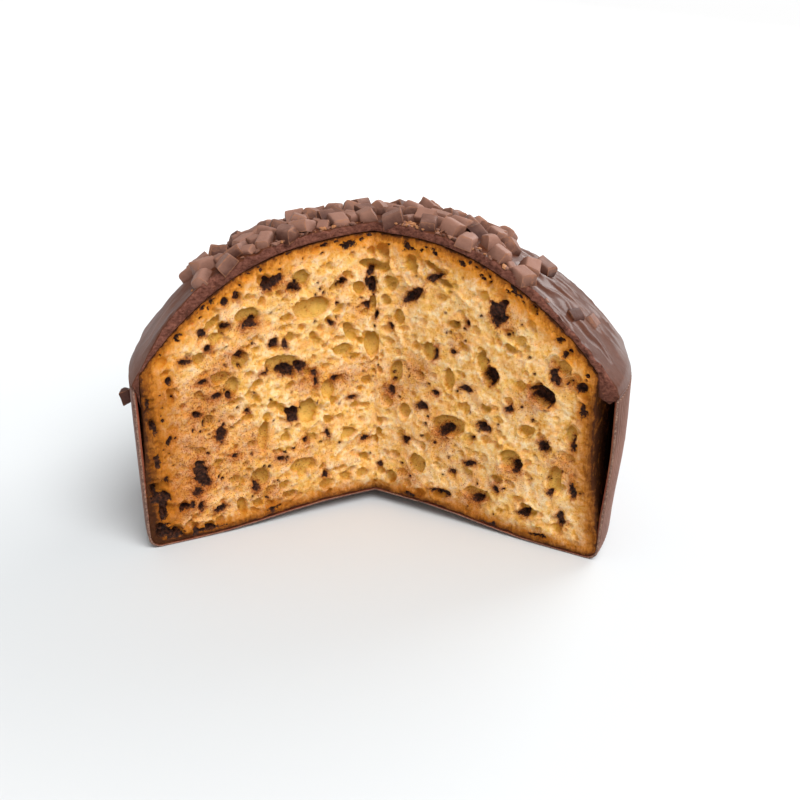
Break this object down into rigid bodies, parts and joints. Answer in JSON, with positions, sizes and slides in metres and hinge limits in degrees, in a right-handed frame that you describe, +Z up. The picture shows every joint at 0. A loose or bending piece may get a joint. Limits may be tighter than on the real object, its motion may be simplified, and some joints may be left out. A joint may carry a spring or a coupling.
{
  "type": "panettone",
  "caption": "Domed panettone with chocolate pieces in its crumb and a chocolate coating strewn with chunks, a wide wedge cut out, in its paper baking case.",
  "frame": {"origin": "middle of the bounding box's footprint, at the surface the loaf stands on", "axes": "+Z up along the loaf's axis, +X to the right across the cut, -Y towards the cut-out wedge"},
  "size_m": [0.1948, 0.1418, 0.1264],
  "materials": {
    "crumb": "open golden crumb with dark melted chocolate pieces and a thin brown crust",
    "chocolate": "glossy dark chocolate where it ran, dull where it is cut, with chipped chunks on top",
    "baking_paper": "dark brown baking paper with a slight sheen"
  },
  "bodies": {
    "root": {"loaf": "crumb", "coating": "chocolate", "paper_case": "baking_paper"}
  },
  "joints": []
}
